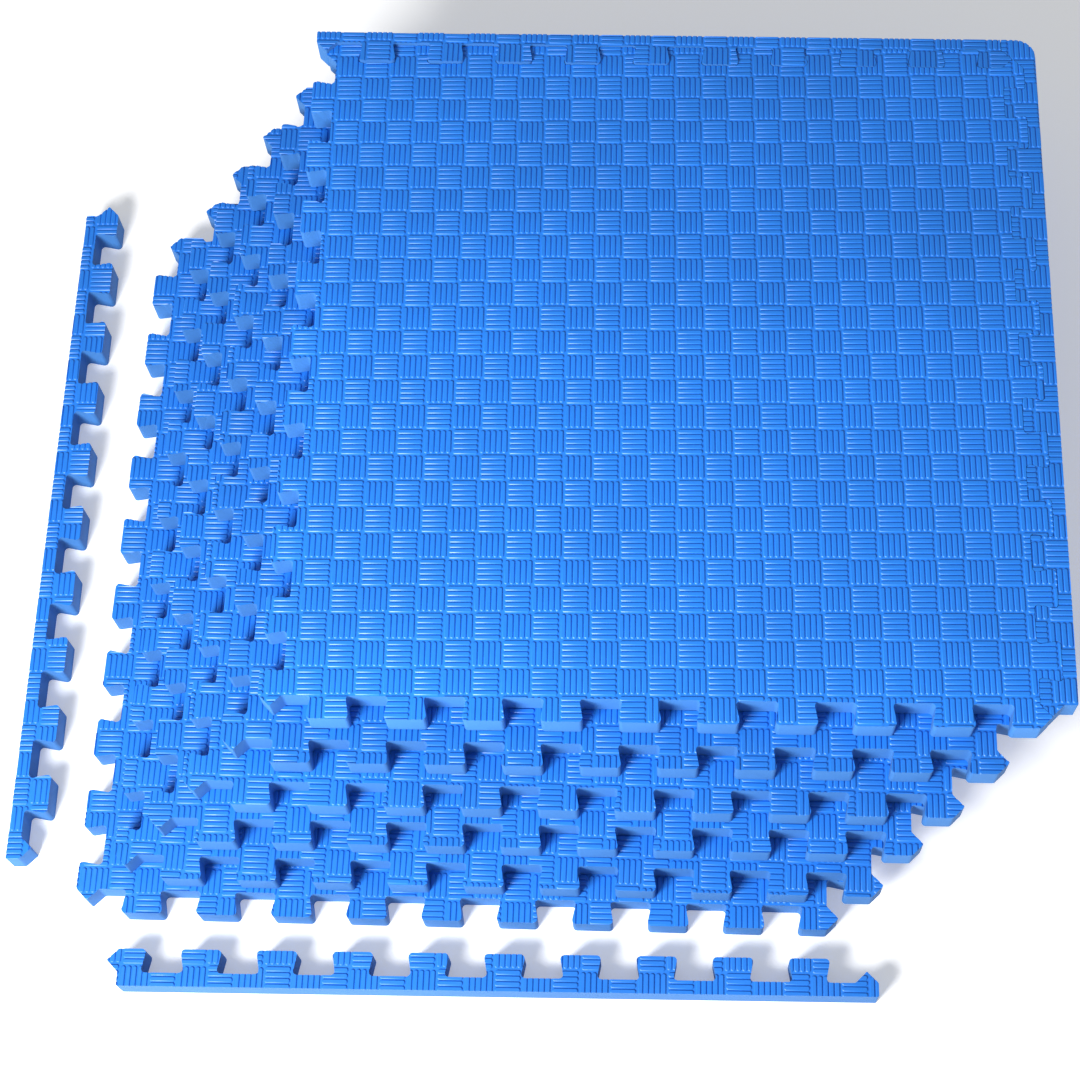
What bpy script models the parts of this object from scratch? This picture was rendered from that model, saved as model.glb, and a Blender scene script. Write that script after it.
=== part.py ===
"""Interlocking foam mats: a fanned stack of square puzzle tiles with their border strips.

Run with: blender --background --python part.py
Metres, +Z up. The origin is the centre of the bottom mat's underside.
The camera side, called the front, is -Y. Each mat is one foam tile with the same
toothed outline turned a quarter turn four times, so any side fits any other side.
"""
import math

import bmesh
import bpy
from mathutils import Euler, Vector

# Driving dimensions
TILE = 0.6096              # distance from one fitted tile to the next (24 inches)
TEETH = 10                 # teeth along each side of a tile
THICKNESS = 0.0254         # foam thickness (1 inch)
TOOTH_DEPTH = 0.019        # how far a tooth stands out from its side
NECK_SHARE = 0.44          # a tooth's width at its root, as a share of the pitch
RAIL_WIDTH = 0.011         # plain edge of a border strip, outside its teeth
EDGE_CUT = 0.002           # softened corners of teeth and gaps
CORNER_RADIUS = 0.018      # rounded outer corner of the corner border
CORNER_STEPS = 6           # straight steps in that round corner
FIT_GAP = 0.0003           # play round a fitted border, and between stacked mats

# Worked out from them
PITCH = TILE / TEETH
HALF_BASE = (TILE - TOOTH_DEPTH) / 2       # centre of a tile to the roots of its teeth
HALF_TILE = TILE / 2
NECK = NECK_SHARE * PITCH                  # narrow root of a tooth
CROWN = PITCH - NECK                       # wide outer end of a tooth
STEP_UP = THICKNESS + FIT_GAP
DIAGONAL_GAP = FIT_GAP * math.sqrt(2)

# The stack, bottom mat first: name, slide in x and y from the mat below, turn in degrees
STACK = [
    ("mat_bottom", 0.000, 0.000, 0.00),
    ("mat_fifth", 0.035, 0.022, -0.14),
    ("mat_fourth", 0.028, 0.026, 0.36),
    ("mat_third", 0.030, 0.024, 0.00),
    ("mat_second", 0.032, 0.028, 0.16),
    ("mat_top", 0.030, 0.029, 0.13),
]
BACK_BORDER_TILT = 0.45    # degrees: the back border's left end isn't pressed home
FRONT_LOOSE_PLACE = (0.022, -0.340, 0.6)   # x, y of its tooth tips' middle, turn in degrees
LEFT_LOOSE_PLACE = (-0.351, 0.042, -89.0)

FOAM_COLORS = {
    "mat": (0.032, 0.240, 0.850, 1.0),
    "border": (0.035, 0.250, 0.860, 1.0),
}


def soften(corners, closed=True):
    """Replace each corner (u, v, cut) by two points, one on each of its edges."""
    points = []
    count = len(corners)
    for index, (u, v, cut) in enumerate(corners):
        here = Vector((u, v))
        if cut == 0.0:
            points.append(here)
            continue
        before = Vector(corners[index - 1][:2])
        after = Vector(corners[(index + 1) % count][:2])
        points.append(here + (before - here).normalized() * cut)
        points.append(here + (after - here).normalized() * cut)
    return points


def mat_side():
    """One side of a mat, left to right seen from outside: u along it, v outwards."""
    side = [(-HALF_BASE, 0.0, EDGE_CUT)]
    for tooth in range(1, TEETH + 1):
        centre = (tooth - 0.25) * PITCH - HALF_TILE
        side.append((centre - NECK / 2, 0.0, EDGE_CUT))
        side.append((centre - CROWN / 2, TOOTH_DEPTH, EDGE_CUT))
        if tooth < TEETH:
            side.append((centre + CROWN / 2, TOOTH_DEPTH, EDGE_CUT))
            side.append((centre + NECK / 2, 0.0, EDGE_CUT))
    side.append((HALF_BASE, TOOTH_DEPTH, EDGE_CUT))
    side.append((HALF_TILE, TOOTH_DEPTH / 2, EDGE_CUT / 2))
    return side


def mat_outline():
    """The four sides of a mat, each a quarter turn from the last."""
    corners = []
    for quarter in range(4):
        angle = quarter * math.pi / 2
        for u, v, cut in mat_side():
            x, y = u, -HALF_BASE - v
            turned_x = x * math.cos(angle) - y * math.sin(angle)
            turned_y = x * math.sin(angle) + y * math.cos(angle)
            corners.append((turned_x, turned_y, cut))
    return soften(corners)


def plain_end():
    """Hooked end of a straight border, which meets the next border in line."""
    end_u = HALF_BASE + TOOTH_DEPTH - FIT_GAP
    tip_u = (2 * HALF_BASE + TOOTH_DEPTH + DIAGONAL_GAP - FIT_GAP) / 2
    return [
        (end_u, TOOTH_DEPTH + RAIL_WIDTH, EDGE_CUT),
        (end_u, TOOTH_DEPTH, EDGE_CUT),
        (tip_u, tip_u - HALF_BASE + FIT_GAP, EDGE_CUT / 2),
    ]


def corner_end():
    """Rounded end of a corner border, which wraps the mat's corner tooth."""
    outer_u = HALF_BASE + TOOTH_DEPTH + RAIL_WIDTH
    outer_v = TOOTH_DEPTH + RAIL_WIDTH
    arc = []
    for step in range(CORNER_STEPS + 1):
        angle = step / CORNER_STEPS * math.pi / 2
        u = outer_u - CORNER_RADIUS + CORNER_RADIUS * math.sin(angle)
        v = outer_v - CORNER_RADIUS + CORNER_RADIUS * math.cos(angle)
        arc.append((u, v, 0.0))
    inner_u = HALF_BASE + TOOTH_DEPTH + DIAGONAL_GAP - FIT_GAP
    return arc + [(outer_u, FIT_GAP, EDGE_CUT), (inner_u, FIT_GAP, EDGE_CUT / 2)]


def border_outline(far_end):
    """A border strip in its side's u and v: its teeth fill the mat's gaps."""
    root_v = TOOTH_DEPTH + FIT_GAP
    start_u = -HALF_BASE + DIAGONAL_GAP
    corners = [(start_u, TOOTH_DEPTH + RAIL_WIDTH, EDGE_CUT)]
    corners += far_end
    corners.append((HALF_BASE + DIAGONAL_GAP - FIT_GAP, root_v, EDGE_CUT))
    for gap in range(TEETH, 0, -1):
        centre = (gap - 0.75) * PITCH - HALF_TILE
        neck = NECK / 2 - FIT_GAP
        crown = CROWN / 2 - FIT_GAP
        corners.append((centre + neck, root_v, EDGE_CUT))
        corners.append((centre + crown, FIT_GAP, EDGE_CUT))
        if gap > 1:
            corners.append((centre - crown, FIT_GAP, EDGE_CUT))
            corners.append((centre - neck, root_v, EDGE_CUT))
    corners.append((start_u - FIT_GAP, FIT_GAP, EDGE_CUT))
    corners.append((start_u - TOOTH_DEPTH / 2, TOOTH_DEPTH / 2, EDGE_CUT / 2))
    corners.append((start_u, TOOTH_DEPTH, EDGE_CUT))
    return [Vector((point.x, -point.y)) for point in soften(corners)]


def foam_material(name, color):
    """Closed-cell foam: matt, coloured right through."""
    material = bpy.data.materials.new(name)
    material.use_nodes = True
    shader = material.node_tree.nodes["Principled BSDF"]
    shader.inputs["Base Color"].default_value = color
    shader.inputs["Roughness"].default_value = 0.62
    shader.inputs["Metallic"].default_value = 0.0
    return material


def foam_piece(name, outline, kind):
    """A flat sheet of foam cut to the outline, its underside at local z = 0."""
    mesh = bpy.data.meshes.new(name)
    cut = bmesh.new()
    rim = [cut.verts.new((point.x, point.y, 0.0)) for point in outline]
    underside = cut.faces.new(rim)
    raised = bmesh.ops.extrude_face_region(cut, geom=[underside])["geom"]
    top = [item for item in raised if isinstance(item, bmesh.types.BMVert)]
    bmesh.ops.translate(cut, verts=top, vec=(0.0, 0.0, THICKNESS))
    bmesh.ops.recalc_face_normals(cut, faces=cut.faces)
    cut.to_mesh(mesh)
    cut.free()
    piece = bpy.data.objects.new(name, mesh)
    piece.data.materials.append(foam_material(name + "_foam", FOAM_COLORS[kind]))
    bpy.context.collection.objects.link(piece)
    return piece


def place(piece, location, turn, tilt=0.0):
    piece.location = location
    piece.rotation_euler = Euler((0.0, math.radians(tilt), math.radians(turn)))


def build_stack():
    """Six equal mats, each slid back and to the right of the one below it."""
    x = y = turn = 0.0
    for level, (name, slide_x, slide_y, twist) in enumerate(STACK):
        x += slide_x
        y += slide_y
        turn += twist
        mat = foam_piece(name, mat_outline(), "mat")
        place(mat, (x, y, level * STEP_UP), turn)
    return mat


def build_fitted_borders(mat):
    """A corner border on the top mat's right side, a straight one on its back side."""
    middle = mat.location
    turn = math.degrees(mat.rotation_euler.z)
    fitted = (("border_right", corner_end(), 90.0, 0.0),
              ("border_back", plain_end(), 180.0, BACK_BORDER_TILT))
    for name, far_end, side_turn, tilt in fitted:
        heading = math.radians(turn + side_turn)
        outwards = Vector((math.sin(heading), -math.cos(heading), 0.0)) * HALF_BASE
        lift = HALF_BASE * math.sin(math.radians(tilt))
        border = foam_piece(name, border_outline(far_end), "border")
        place(border, middle + outwards + Vector((0.0, 0.0, lift)), turn + side_turn, -tilt)


def build_loose_borders():
    """Two straight borders that lie on the floor, in front and to the left."""
    places = {"loose_border_front": FRONT_LOOSE_PLACE, "loose_border_left": LEFT_LOOSE_PLACE}
    for name, (x, y, turn) in places.items():
        border = foam_piece(name, border_outline(plain_end()), "border")
        place(border, (x, y, 0.0), turn)


def main():
    for item in list(bpy.data.objects):
        bpy.data.objects.remove(item, do_unlink=True)
    top_mat = build_stack()
    build_fitted_borders(top_mat)
    build_loose_borders()


main()
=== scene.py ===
"""Looks for the fanned stack of interlocking foam mats and their border strips.

Each piece is a slab with a moulded basket weave on top, cut to its toothed outline.
Metres, +Z up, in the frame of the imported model.
"""
import math

import bpy
from mathutils import Matrix, Vector

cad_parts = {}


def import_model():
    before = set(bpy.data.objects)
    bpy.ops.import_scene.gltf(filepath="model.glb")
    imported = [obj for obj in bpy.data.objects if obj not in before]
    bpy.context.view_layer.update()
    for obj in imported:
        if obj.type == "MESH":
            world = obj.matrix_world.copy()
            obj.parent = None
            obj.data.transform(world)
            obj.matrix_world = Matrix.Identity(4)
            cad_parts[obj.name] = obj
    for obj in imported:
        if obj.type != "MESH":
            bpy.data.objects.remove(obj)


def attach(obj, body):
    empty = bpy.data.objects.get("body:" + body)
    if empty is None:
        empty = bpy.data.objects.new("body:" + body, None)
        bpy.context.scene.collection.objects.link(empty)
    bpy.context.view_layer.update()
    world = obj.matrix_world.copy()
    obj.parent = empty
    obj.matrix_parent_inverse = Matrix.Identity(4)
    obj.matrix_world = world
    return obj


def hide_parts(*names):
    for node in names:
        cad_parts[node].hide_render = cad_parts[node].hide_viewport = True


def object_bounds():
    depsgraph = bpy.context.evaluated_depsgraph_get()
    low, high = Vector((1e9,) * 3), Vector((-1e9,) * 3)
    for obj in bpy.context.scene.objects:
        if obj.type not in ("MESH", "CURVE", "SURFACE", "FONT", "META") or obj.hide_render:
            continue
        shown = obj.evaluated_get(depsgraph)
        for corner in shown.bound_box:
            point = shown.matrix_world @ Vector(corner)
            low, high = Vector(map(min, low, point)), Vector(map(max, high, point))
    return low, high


# The mats' own dimensions
TILE = 0.6096              # distance from one fitted tile to the next
TEETH = 10                 # teeth along each side
THICKNESS = 0.0254
TOOTH_DEPTH = 0.019
NECK_SHARE = 0.44          # a tooth's root width as a share of the pitch
TOOTH_PLACE = 0.75         # middle of a tooth, in pitches from where its pitch starts
GAP_PLACE = 0.25           # middle of the gap beside it
RAIL_WIDTH = 0.011         # plain edge of a border strip
END_RADIUS = 0.018         # outer corner of the corner border
FIT_GAP = 0.0003           # play between a border and a mat, and between two mats in the stack
PITCH = TILE / TEETH
HALF_BASE = (TILE - TOOTH_DEPTH) / 2    # from a mat's middle to the roots of its teeth
HALF_TILE = TILE / 2
NECK = NECK_SHARE * PITCH
CROWN = PITCH - NECK
STEP_UP = THICKNESS + FIT_GAP
DIAGONAL_GAP = FIT_GAP * math.sqrt(2)

# Rounding of the die-cut outline
TOOTH_RADIUS = 0.0032      # corners of teeth and gaps
TIP_RADIUS = 0.0012        # sharp points at the ends of a side
ARC_STEPS = 5

# The moulded weave: square cells of raised bars, each cell turned a quarter from the next
CELL = 0.02304
BARS = 5
BAR_PITCH = CELL / BARS
RELIEF = 0.0011            # height of a bar over the ground round it
END_GAP = 0.0012           # from a bar's end to the edge of its cell
# Rings of a bar, from its foot to its top: height (share of the relief), half width, inset of its
# end from the foot's, and how much of each corner is cut off
BAR_RINGS = (
    (0.00, 0.00204, 0.00000, 0.00120),
    (0.60, 0.00182, 0.00022, 0.00108),
    (1.00, 0.00128, 0.00076, 0.00075),
)
OVERHANG = 0.004           # how far the weave slab reaches past the outline before it is cut
SMOOTH_ANGLE = 30.0        # degrees: edges sharper than this stay crisp

# Places in a bar's ring of eight points, which runs anticlockwise
BELOW_LEFT, BELOW_RIGHT, ABOVE_RIGHT, ABOVE_LEFT = 0, 1, 4, 5
RIGHT_END = (1, 2, 3, 4)   # upwards
LEFT_END = (0, 7, 6, 5)    # upwards
# What stands for a cell's four corners in its faces, anticlockwise from the lower left. They are
# negative, and so never taken for the cell's own vertices.
CELL_CORNERS = (-1, -2, -3, -4)

# The stack, bottom mat first: name, slide in x and y from the mat below, turn in degrees,
# then where its weave starts (shares of a cell) and how far the weave is turned on it
STACK = (
    ("mat_bottom", 0.000, 0.000, 0.00, (0.35, 0.10), 0.5),
    ("mat_fifth", 0.035, 0.022, -0.14, (0.90, 0.55), -0.3),
    ("mat_fourth", 0.028, 0.026, 0.36, (0.15, 0.75), 0.4),
    ("mat_third", 0.030, 0.024, 0.00, (0.60, 0.30), -0.2),
    ("mat_second", 0.032, 0.028, 0.16, (0.05, 0.85), 0.3),
    ("mat_top", 0.030, 0.029, 0.13, (0.42, 0.32), 0.75),
)
BACK_BORDER_TILT = 0.45    # degrees: its left end is not fully home
# The loose borders on the floor: x, y and turn in degrees
FRONT_LOOSE_PLACE = (0.022, -0.340, 0.6)
LEFT_LOOSE_PLACE = (-0.351, 0.042, -89.0)

# Foam
TOP_BLUE = (0.014, 0.215, 0.810, 1.0)
CUT_BLUE = (0.036, 0.190, 0.530, 1.0)
# How bright each piece's blue is. In the photo the lower mats and the loose strips are duller. A
# value below 1 is painted shade, for light falling off towards the front.
LOWER_MAT_PAINTED_SHADE = 0.85
PAINTED_SHADE_TONES = {
    "mat_top": 1.00,
    "border_right": 0.97,
    "border_back": 0.97,
    "loose_border_front": 0.80,
    "loose_border_left": 0.88,
}
SKIN_SLOPES = (0.05, 0.45)     # upward part of the normal: cut edge below, moulded skin above
CUT_ROUGHNESS = (0.85, 0.85, 0.85, 1.0)    # as a grey, because a Mix node blends it
SKIN_ROUGHNESS = (0.38, 0.48)
SPECULAR = 0.6
CLOUDS = (0.93, 1.06)          # range of the wide changes in brightness
SPECKS = (0.95, 1.05)          # range of the fine ones
NOISE_SPAN = (0.3, 0.7)        # where most of a noise's values lie
SEED_SHIFT = (1.7, 0.9, 0.3)   # how far each piece's noise is moved from the last piece's
# Noises: how many waves to a metre, levels of detail, roughness
CLOUD_NOISE = (7.0, 3.0, 0.5)
SPECK_NOISE = (900.0, 2.0, 0.5)
GLOSS_NOISE = (60.0, 3.0, 0.5)
PORE_NOISE = (1500.0, 3.0, 0.6)
WAVE_NOISE = (45.0, 2.0, 0.5)
# Bumps: strength, height in metres
PORE_BUMP = (0.25, 0.0002)
WAVE_BUMP = (0.35, 0.0015)
# Sockets of a Mix node that blends colors
MIX_A, MIX_B, MIX_RESULT = 6, 7, 2
# First noise seeds of the fitted and of the loose borders; the mats' start at 0
FITTED_SEED = 10
LOOSE_SEED = 20

# Floor and light
FLOOR_REACH = 30.0
FLOOR_DROP = 0.0002        # how far the floor is under the object
FLOOR_WHITE = (0.92, 0.92, 0.92, 1.0)
FLOOR_ROUGHNESS = 0.9
FLOOR_GLOW_COLOR = (1.0, 1.0, 1.0, 1.0)
FLOOR_GLOW = 0.3           # stands in for the photo's cut-out white background
SKY_COLOR = (0.93, 0.96, 1.0, 1.0)
SKY_STRENGTH = 0.34
KEY_OFFSET = (-0.85, -1.40, 1.12)    # from the middle of the object: front left, and above
KEY_SIZE = 0.7
KEY_WATTS = 68.0
KEY_COLOR = (1.0, 0.99, 0.97)

# Camera
CAMERA_PLACE = (0.1692, -0.7152, 1.7971)
CAMERA_YAW = -3.40         # degrees, from +Y towards +X
CAMERA_DOWN = 66.0         # degrees below the horizon
CAMERA_ROLL = 1.96
CAMERA_LENS = 73.8
CAMERA_SENSOR = 36.0
CAMERA_SHIFT = (-0.079, -0.050)
CAMERA_CLIP = 0.05


# ---------------------------------------------------------------- outlines

def rounded(corners):
    """Replace each corner (u, v, radius) of a closed outline by a short arc."""
    points = []
    count = len(corners)
    for index, (u, v, radius) in enumerate(corners):
        here = Vector((u, v))
        before = (Vector(corners[index - 1][:2]) - here).normalized()
        after = (Vector(corners[(index + 1) % count][:2]) - here).normalized()
        half = before.angle(after) / 2
        reach = radius / math.tan(half)
        centre = here + (before + after).normalized() * (radius / math.sin(half))
        first = here + before * reach - centre
        last = here + after * reach - centre
        # angle_signed counts a clockwise turn as positive, and Rotation the other way
        sweep = first.angle_signed(last)
        for step in range(ARC_STEPS + 1):
            turned = first.copy()
            turned.rotate(Matrix.Rotation(-sweep * step / ARC_STEPS, 2))
            points.append(centre + turned)
    return points


def mat_side():
    """One side of a mat, left to right seen from outside: u along it, v outwards.

    The last tooth has no right flank: it runs on to the point it shares with the next side.
    """
    side = [(-HALF_BASE, 0.0, TOOTH_RADIUS)]
    for tooth in range(TEETH):
        centre = (tooth + TOOTH_PLACE) * PITCH - HALF_TILE
        side.append((centre - NECK / 2, 0.0, TOOTH_RADIUS))
        side.append((centre - CROWN / 2, TOOTH_DEPTH, TOOTH_RADIUS))
        if tooth < TEETH - 1:
            side.append((centre + CROWN / 2, TOOTH_DEPTH, TOOTH_RADIUS))
            side.append((centre + NECK / 2, 0.0, TOOTH_RADIUS))
    side.append((HALF_BASE, TOOTH_DEPTH, TOOTH_RADIUS))
    side.append((HALF_TILE, TOOTH_DEPTH / 2, TIP_RADIUS))
    return side


def mat_outline():
    """The four sides of a mat, each a quarter turn from the last."""
    corners = []
    for quarter in range(4):
        turn = Matrix.Rotation(quarter * math.pi / 2, 2)
        for u, v, radius in mat_side():
            point = turn @ Vector((u, -HALF_BASE - v))
            corners.append((point.x, point.y, radius))
    return rounded(corners)


def plain_end():
    """Hooked end of a straight border, which meets the next border in line."""
    end_u = HALF_BASE + TOOTH_DEPTH - FIT_GAP
    tip_u = (2 * HALF_BASE + TOOTH_DEPTH + DIAGONAL_GAP - FIT_GAP) / 2
    return [
        (end_u, TOOTH_DEPTH + RAIL_WIDTH, TIP_RADIUS),
        (end_u, TOOTH_DEPTH, TOOTH_RADIUS),
        (tip_u, tip_u - HALF_BASE + FIT_GAP, TIP_RADIUS),
    ]


def corner_end():
    """Rounded end of a corner border, which wraps the mat's corner tooth."""
    outer_u = HALF_BASE + TOOTH_DEPTH + RAIL_WIDTH
    inner_u = HALF_BASE + TOOTH_DEPTH + DIAGONAL_GAP - FIT_GAP
    return [
        (outer_u, TOOTH_DEPTH + RAIL_WIDTH, END_RADIUS),
        (outer_u, FIT_GAP, TIP_RADIUS),
        (inner_u, FIT_GAP, TIP_RADIUS),
    ]


def border_outline(far_end):
    """A border strip in its side's u and v: its teeth fill the mat's gaps."""
    root_v = TOOTH_DEPTH + FIT_GAP
    start_u = -HALF_BASE + DIAGONAL_GAP
    neck = NECK / 2 - FIT_GAP
    crown = CROWN / 2 - FIT_GAP
    corners = [(start_u, TOOTH_DEPTH + RAIL_WIDTH, TIP_RADIUS)]
    corners += far_end
    corners.append((HALF_BASE + DIAGONAL_GAP - FIT_GAP, root_v, TOOTH_RADIUS))
    for gap in reversed(range(TEETH)):
        centre = (gap + GAP_PLACE) * PITCH - HALF_TILE
        corners.append((centre + neck, root_v, TOOTH_RADIUS))
        corners.append((centre + crown, FIT_GAP, TOOTH_RADIUS))
        if gap > 0:
            corners.append((centre - crown, FIT_GAP, TOOTH_RADIUS))
            corners.append((centre - neck, root_v, TOOTH_RADIUS))
    corners.append((start_u - FIT_GAP, FIT_GAP, TOOTH_RADIUS))
    corners.append((start_u - TOOTH_DEPTH / 2, TOOTH_DEPTH / 2, TIP_RADIUS))
    corners.append((start_u, TOOTH_DEPTH, TIP_RADIUS))
    return [Vector((point.x, -point.y)) for point in rounded(corners)]


# ---------------------------------------------------------------- weave

def bar_ring(middle, half_width, half_length, corner):
    """Eight points round a bar that runs along x, anticlockwise from its lower left side."""
    side = half_length - corner
    end = half_width - corner
    return [
        (-side, middle - half_width), (side, middle - half_width),
        (half_length, middle - end), (half_length, middle + end),
        (side, middle + half_width), (-side, middle + half_width),
        (-half_length, middle + end), (-half_length, middle - end),
    ]


def ground_faces(feet, corners):
    """Faces of a cell's ground: between the bars, beside the outer two, and round their ends."""
    faces = []
    for near, far in zip(feet, feet[1:]):
        faces.append((near[ABOVE_LEFT], near[ABOVE_RIGHT], far[BELOW_RIGHT], far[BELOW_LEFT]))
    first, last = feet[0], feet[-1]
    right_ends = [foot[k] for foot in feet for k in RIGHT_END]
    left_ends = [foot[k] for foot in feet for k in LEFT_END]
    faces.append((corners[0], corners[1], first[BELOW_RIGHT], first[BELOW_LEFT]))
    faces.append((corners[2], corners[3], last[ABOVE_LEFT], last[ABOVE_RIGHT]))
    faces.append((corners[1], corners[2], *reversed(right_ends)))
    faces.append((corners[3], corners[0], *left_ends))
    return faces


def cell_pattern(turned):
    """Vertices inside one cell, round its middle, and the cell's faces."""
    vertices, faces, feet = [], [], []
    for bar in range(BARS):
        middle = (bar - (BARS - 1) / 2) * BAR_PITCH
        rings = []
        for height, half_width, inset, corner in BAR_RINGS:
            ring = bar_ring(middle, half_width, CELL / 2 - END_GAP - inset, corner)
            rings.append(list(range(len(vertices), len(vertices) + len(ring))))
            vertices += [(x, y, height * RELIEF) for x, y in ring]
        for lower, upper in zip(rings, rings[1:]):
            for here in range(len(lower)):
                after = (here + 1) % len(lower)
                faces.append((lower[here], lower[after], upper[after], upper[here]))
        faces.append(rings[-1])
        feet.append(rings[0])
    corners = CELL_CORNERS
    if turned:
        vertices = [(-y, x, z) for x, y, z in vertices]
        corners = CELL_CORNERS[1:] + CELL_CORNERS[:1]
    return vertices, faces + ground_faces(feet, corners)


def cells_over(low, high, start, turning):
    """For x and for y: where the first cell starts and how many cells it takes to cover the box.

    Both are in the weave's own frame. The start is in cells from the frame's origin.
    """
    back = turning.transposed()
    box = [back @ Vector((x, y)) for x in (low.x, high.x) for y in (low.y, high.y)]
    spans = []
    for axis, share in enumerate(start):
        first = math.floor(min(corner[axis] for corner in box) / CELL - share) + share
        spans.append((first, math.ceil(max(corner[axis] for corner in box) / CELL - first)))
    return spans


def rim_loop(cells_x, cells_y):
    """Grid corners round the edge of the slab, anticlockwise from the lower left."""
    row = cells_x + 1
    rim = list(range(row))
    rim += [j * row + cells_x for j in range(1, cells_y + 1)]
    rim += [cells_y * row + i for i in reversed(range(cells_x))]
    rim += [j * row for j in reversed(range(1, cells_y))]
    return rim


def weave_slab(name, low, high, start, turn):
    """A closed slab with the weave on top, covering the box from low to high."""
    turning = Matrix.Rotation(math.radians(turn), 2)
    (first_x, cells_x), (first_y, cells_y) = cells_over(low, high, start, turning)
    ground_z = THICKNESS - RELIEF
    row = cells_x + 1
    vertices = []
    for level in (ground_z, -OVERHANG):
        for j in range(cells_y + 1):
            for i in range(row):
                vertices.append(((first_x + i) * CELL, (first_y + j) * CELL, level))
    underside = row * (cells_y + 1)
    patterns = [cell_pattern(False), cell_pattern(True)]
    faces = []
    for j in range(cells_y):
        for i in range(cells_x):
            here = j * row + i
            round_cell = (here, here + 1, here + row + 1, here + row)
            faces.append([round_cell[k] + underside for k in (0, 3, 2, 1)])
            inside, cell_faces = patterns[(i + j) % 2]
            offset = len(vertices)
            middle_x = (first_x + i + 0.5) * CELL
            middle_y = (first_y + j + 0.5) * CELL
            vertices += [(middle_x + x, middle_y + y, ground_z + z) for x, y, z in inside]
            corner = dict(zip(CELL_CORNERS, round_cell))
            for face in cell_faces:
                faces.append([corner[k] if k < 0 else k + offset for k in face])
    rim = rim_loop(cells_x, cells_y)
    for here, after in zip(rim, rim[1:] + rim[:1]):
        faces.append([here, here + underside, after + underside, after])

    mesh = bpy.data.meshes.new(name)
    mesh.from_pydata(vertices, [], faces)
    mesh.transform(turning.to_4x4())
    return mesh


def outline_prism(name, outline):
    """The outline as a solid, from the underside to above the weave."""
    count = len(outline)
    vertices = [(p.x, p.y, z) for z in (0.0, THICKNESS + OVERHANG) for p in outline]
    faces = [list(reversed(range(count))), list(range(count, 2 * count))]
    for here in range(count):
        after = (here + 1) % count
        faces.append([here, after, after + count, here + count])
    mesh = bpy.data.meshes.new(name)
    mesh.from_pydata(vertices, [], faces)
    return mesh


def trim(slab, cutter):
    """Cut the slab down to what lies inside the cutter, and remove the cutter."""
    cut = slab.modifiers.new("cut", "BOOLEAN")
    cut.operation = "INTERSECT"
    cut.solver = "MANIFOLD"
    cut.object = cutter
    bpy.context.view_layer.update()
    graph = bpy.context.evaluated_depsgraph_get()
    mesh = bpy.data.meshes.new_from_object(slab.evaluated_get(graph))
    slab.modifiers.clear()
    slab.data = mesh
    bpy.data.objects.remove(cutter, do_unlink=True)


def foam_piece(name, outline, start, turn):
    """A sheet of foam with the weave on its top, cut to the outline."""
    low = Vector((min(p.x for p in outline), min(p.y for p in outline)))
    high = Vector((max(p.x for p in outline), max(p.y for p in outline)))
    margin = Vector((OVERHANG, OVERHANG))
    slab = bpy.data.objects.new(name, weave_slab(name, low - margin, high + margin, start, turn))
    cutter = bpy.data.objects.new(name + "_outline", outline_prism(name, outline))
    for item in (slab, cutter):
        bpy.context.scene.collection.objects.link(item)
    trim(slab, cutter)
    slab.data.name = name
    slab.data.shade_smooth()
    slab.data.set_sharp_from_angle(angle=math.radians(SMOOTH_ANGLE))
    return slab


# ---------------------------------------------------------------- material

def feed(tree, value, socket):
    """Give a socket either another node's output or a plain value."""
    if isinstance(value, bpy.types.NodeSocket):
        tree.links.new(value, socket)
    else:
        socket.default_value = value


def add_math(tree, operation, *values):
    """The result of a Math node."""
    node = tree.nodes.new("ShaderNodeMath")
    node.operation = operation
    for value, socket in zip(values, node.inputs):
        feed(tree, value, socket)
    return node.outputs[0]


def add_mix(tree, first, second, factor):
    """A blend from the first color to the second as the factor goes from 0 to 1."""
    node = tree.nodes.new("ShaderNodeMix")
    node.data_type = "RGBA"
    feed(tree, first, node.inputs[MIX_A])
    feed(tree, second, node.inputs[MIX_B])
    feed(tree, factor, node.inputs["Factor"])
    return node.outputs[MIX_RESULT]


def add_range(tree, value, source, result):
    """A Map Range node that stretches the value's source range to the result range."""
    node = tree.nodes.new("ShaderNodeMapRange")
    node.inputs["From Min"].default_value, node.inputs["From Max"].default_value = source
    node.inputs["To Min"].default_value, node.inputs["To Max"].default_value = result
    feed(tree, value, node.inputs["Value"])
    return node


def add_noise(tree, place, settings):
    """Noise at a place, from its scale, detail and roughness."""
    node = tree.nodes.new("ShaderNodeTexNoise")
    scale, detail, roughness = settings
    node.inputs["Scale"].default_value = scale
    node.inputs["Detail"].default_value = detail
    node.inputs["Roughness"].default_value = roughness
    feed(tree, place, node.inputs["Vector"])
    return node.outputs["Fac"]


def add_varied(tree, place, noise, result):
    """Noise stretched over the result range."""
    return add_range(tree, add_noise(tree, place, noise), NOISE_SPAN, result).outputs["Result"]


def add_bump(tree, place, noise, bump):
    """A Bump node that raises the surface by noise."""
    node = tree.nodes.new("ShaderNodeBump")
    strength, distance = bump
    node.inputs["Strength"].default_value = strength
    node.inputs["Distance"].default_value = distance
    feed(tree, add_noise(tree, place, noise), node.inputs["Height"])
    return node


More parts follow.
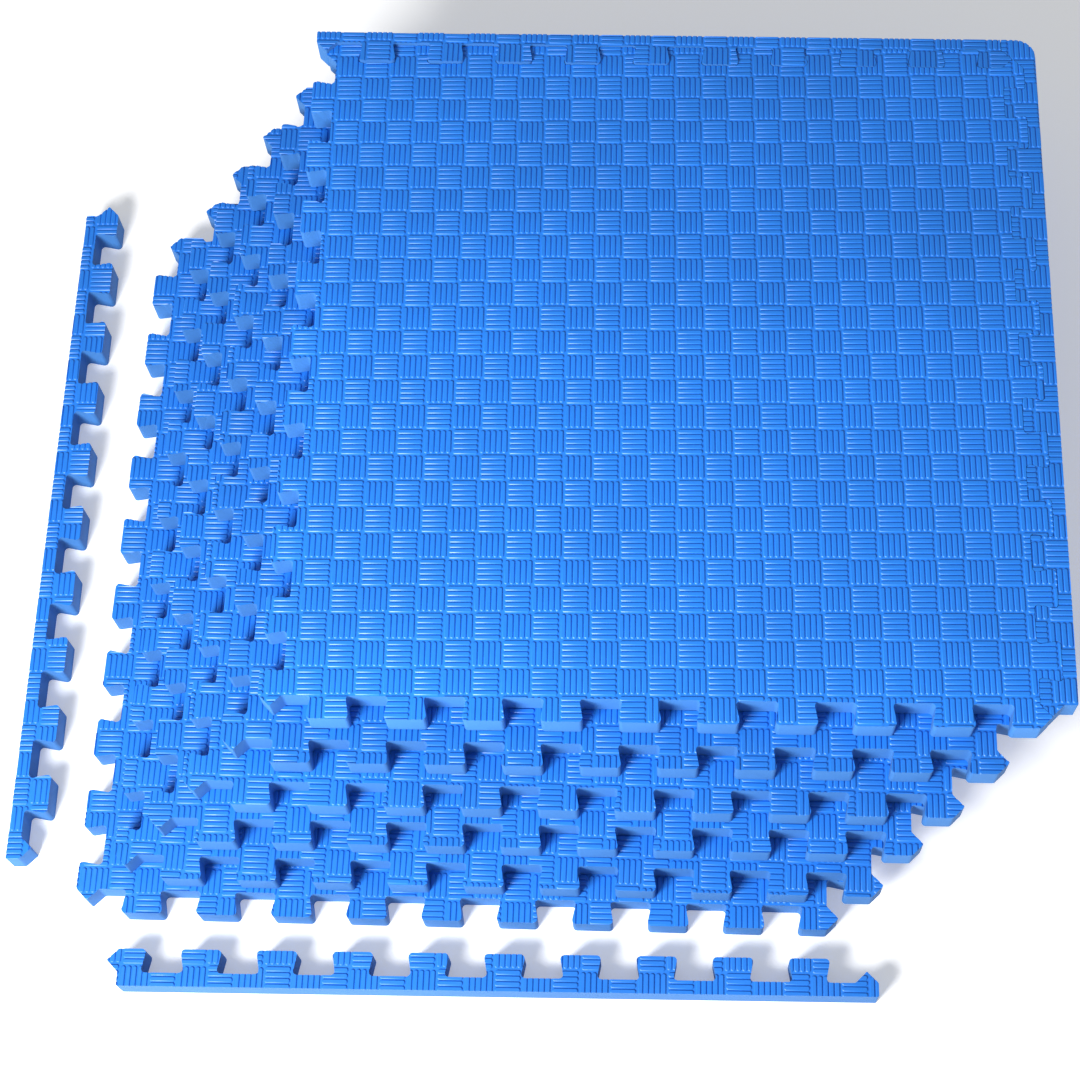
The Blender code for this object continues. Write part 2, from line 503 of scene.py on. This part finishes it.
def foam_material(name, top_color, cut_color, seed):
    """Closed-cell foam: a moulded skin on the flat faces, bare cells on the cut edges."""
    material = bpy.data.materials.new(name)
    material.use_nodes = True
    tree = material.node_tree
    shader = tree.nodes["Principled BSDF"]
    source = tree.nodes.new("ShaderNodeTexCoord")

    # 1 on the skin and 0 on a cut edge, by how far the surface faces up or down
    facing = tree.nodes.new("ShaderNodeSeparateXYZ")
    feed(tree, source.outputs["Normal"], facing.inputs["Vector"])
    upright = add_math(tree, "ABSOLUTE", facing.outputs["Z"])
    slope = add_range(tree, upright, SKIN_SLOPES, (0.0, 1.0))
    slope.interpolation_type = "SMOOTHSTEP"
    skin = slope.outputs["Result"]

    moved = tree.nodes.new("ShaderNodeMapping")
    moved.inputs["Location"].default_value = [seed * shift for shift in SEED_SHIFT]
    feed(tree, source.outputs["Object"], moved.inputs["Vector"])
    place = moved.outputs["Vector"]

    clouds = add_varied(tree, place, CLOUD_NOISE, CLOUDS)
    specks = add_varied(tree, place, SPECK_NOISE, SPECKS)
    color = tree.nodes.new("ShaderNodeVectorMath")
    color.operation = "SCALE"
    feed(tree, add_mix(tree, cut_color, top_color, skin), color.inputs[0])
    feed(tree, add_math(tree, "MULTIPLY", clouds, specks), color.inputs["Scale"])
    feed(tree, color.outputs["Vector"], shader.inputs["Base Color"])

    gloss = add_varied(tree, place, GLOSS_NOISE, SKIN_ROUGHNESS)
    feed(tree, add_mix(tree, CUT_ROUGHNESS, gloss, skin), shader.inputs["Roughness"])
    shader.inputs["Specular IOR Level"].default_value = SPECULAR

    pores = add_bump(tree, place, PORE_NOISE, PORE_BUMP)
    waves = add_bump(tree, place, WAVE_NOISE, WAVE_BUMP)
    feed(tree, pores.outputs["Normal"], waves.inputs["Normal"])
    feed(tree, waves.outputs["Normal"], shader.inputs["Normal"])
    return material


def with_painted_shade(color, painted_shade):
    """A color darkened by painted shade: a factor below 1 makes it darker."""
    return (color[0] * painted_shade, color[1] * painted_shade, color[2] * painted_shade, 1.0)


# ---------------------------------------------------------------- assembly

def settle(piece, node, place, seed):
    """Put a piece where its CAD node is, and let it stand for that node."""
    # Painted shade: the lower mats and the loose strips get a darker blue for light falling off
    # towards the front
    painted_shade = PAINTED_SHADE_TONES.get(node, LOWER_MAT_PAINTED_SHADE)
    material = foam_material(node + "_foam", with_painted_shade(TOP_BLUE, painted_shade), with_painted_shade(CUT_BLUE, painted_shade), seed)
    piece.matrix_world = place
    piece.data.materials.clear()
    piece.data.materials.append(material)
    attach(piece, node)
    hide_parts(node)


def placing(location, turn, tilt=0.0):
    """The world matrix of a piece: tilted about its own Y, turned about Z, then moved."""
    turned = Matrix.Rotation(math.radians(turn), 4, "Z")
    return Matrix.Translation(location) @ turned @ Matrix.Rotation(math.radians(tilt), 4, "Y")


def build_stack():
    """Six mats, each slid back and to the right of the one below it.

    Gives the top mat's place and turn.
    """
    outline = mat_outline()
    x = y = turn = 0.0
    for level, (name, slide_x, slide_y, twist, start, weave_turn) in enumerate(STACK):
        x += slide_x
        y += slide_y
        turn += twist
        piece = foam_piece(name + "_foam", outline, start, weave_turn)
        settle(piece, name, placing((x, y, level * STEP_UP), turn), level)
    return Vector((x, y, (len(STACK) - 1) * STEP_UP)), turn


def build_fitted_borders(middle, turn):
    """A corner border on the top mat's right side, a straight one on its back side."""
    # name, far end, turn of its side, tilt, weave start, weave turn
    fitted = (
        ("border_right", corner_end(), 90.0, 0.0, (0.20, 0.60), 0.4),
        ("border_back", plain_end(), 180.0, BACK_BORDER_TILT, (0.70, 0.15), -0.3),
    )
    for index, (name, far_end, side_turn, tilt, start, weave_turn) in enumerate(fitted):
        heading = math.radians(turn + side_turn)
        outwards = Vector((math.sin(heading), -math.cos(heading), 0.0)) * HALF_BASE
        lift = Vector((0.0, 0.0, HALF_BASE * math.sin(math.radians(tilt))))
        piece = foam_piece(name + "_foam", border_outline(far_end), start, weave_turn)
        place = placing(middle + outwards + lift, turn + side_turn, -tilt)
        settle(piece, name, place, FITTED_SEED + index)


def build_loose_borders():
    """Two straight borders that lie on the floor, in front and to the left."""
    # name, place, weave start, weave turn
    loose = (
        ("loose_border_front", FRONT_LOOSE_PLACE, (0.30, 0.45), 0.0),
        ("loose_border_left", LEFT_LOOSE_PLACE, (0.65, 0.20), 0.5),
    )
    for index, (name, (x, y, turn), start, weave_turn) in enumerate(loose):
        piece = foam_piece(name + "_foam", border_outline(plain_end()), start, weave_turn)
        place = placing((x, y, 0.0), turn)
        settle(piece, name, place, LOOSE_SEED + index)


# ---------------------------------------------------------------- studio

def floor_material():
    """Pale paper with a weak glow."""
    material = bpy.data.materials.new("floor_paper")
    material.use_nodes = True
    shader = material.node_tree.nodes["Principled BSDF"]
    shader.inputs["Base Color"].default_value = FLOOR_WHITE
    shader.inputs["Roughness"].default_value = FLOOR_ROUGHNESS
    shader.inputs["Emission Color"].default_value = FLOOR_GLOW_COLOR
    shader.inputs["Emission Strength"].default_value = FLOOR_GLOW
    return material


def add_floor():
    """A wide plain floor, a hair under the object."""
    mesh = bpy.data.meshes.new("floor")
    low, high = -FLOOR_REACH, FLOOR_REACH
    corners = [(low, low, 0), (high, low, 0), (high, high, 0), (low, high, 0)]
    mesh.from_pydata(corners, [], [(0, 1, 2, 3)])
    floor = bpy.data.objects.new("floor", mesh)
    floor.location.z = -FLOOR_DROP
    bpy.context.scene.collection.objects.link(floor)
    mesh.materials.append(floor_material())


def add_sky():
    """Soft light from all round."""
    world = bpy.data.worlds.new("studio")
    bpy.context.scene.world = world
    world.use_nodes = True
    sky = world.node_tree.nodes["Background"]
    sky.inputs["Color"].default_value = SKY_COLOR
    sky.inputs["Strength"].default_value = SKY_STRENGTH


def add_key_light(middle):
    """A square softbox at the front left, aimed at the middle of the object."""
    data = bpy.data.lights.new("key", "AREA")
    data.size = KEY_SIZE
    data.energy = KEY_WATTS
    data.color = KEY_COLOR
    light = bpy.data.objects.new("key", data)
    light.location = middle + Vector(KEY_OFFSET)
    aim = middle - light.location
    light.rotation_euler = aim.to_track_quat("-Z", "Y").to_euler()
    bpy.context.scene.collection.objects.link(light)


def add_camera():
    """The photo's point of view: from above the front, turned a little to the left."""
    data = bpy.data.cameras.new("camera")
    data.lens = CAMERA_LENS
    data.sensor_width = CAMERA_SENSOR
    data.shift_x, data.shift_y = CAMERA_SHIFT
    data.clip_start = CAMERA_CLIP
    camera = bpy.data.objects.new("camera", data)
    yaw = Matrix.Rotation(math.radians(-CAMERA_YAW), 4, "Z")
    down = Matrix.Rotation(math.radians(90.0 - CAMERA_DOWN), 4, "X")
    roll = Matrix.Rotation(math.radians(-CAMERA_ROLL), 4, "Z")
    camera.matrix_world = Matrix.Translation(CAMERA_PLACE) @ yaw @ down @ roll
    bpy.context.scene.collection.objects.link(camera)
    bpy.context.scene.camera = camera


def main():
    bpy.context.scene.view_settings.view_transform = "Standard"
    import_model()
    cad_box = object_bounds()
    middle, turn = build_stack()
    build_fitted_borders(middle, turn)
    build_loose_borders()
    add_floor()
    add_sky()
    add_key_light((cad_box[0] + cad_box[1]) / 2)
    add_camera()


main()
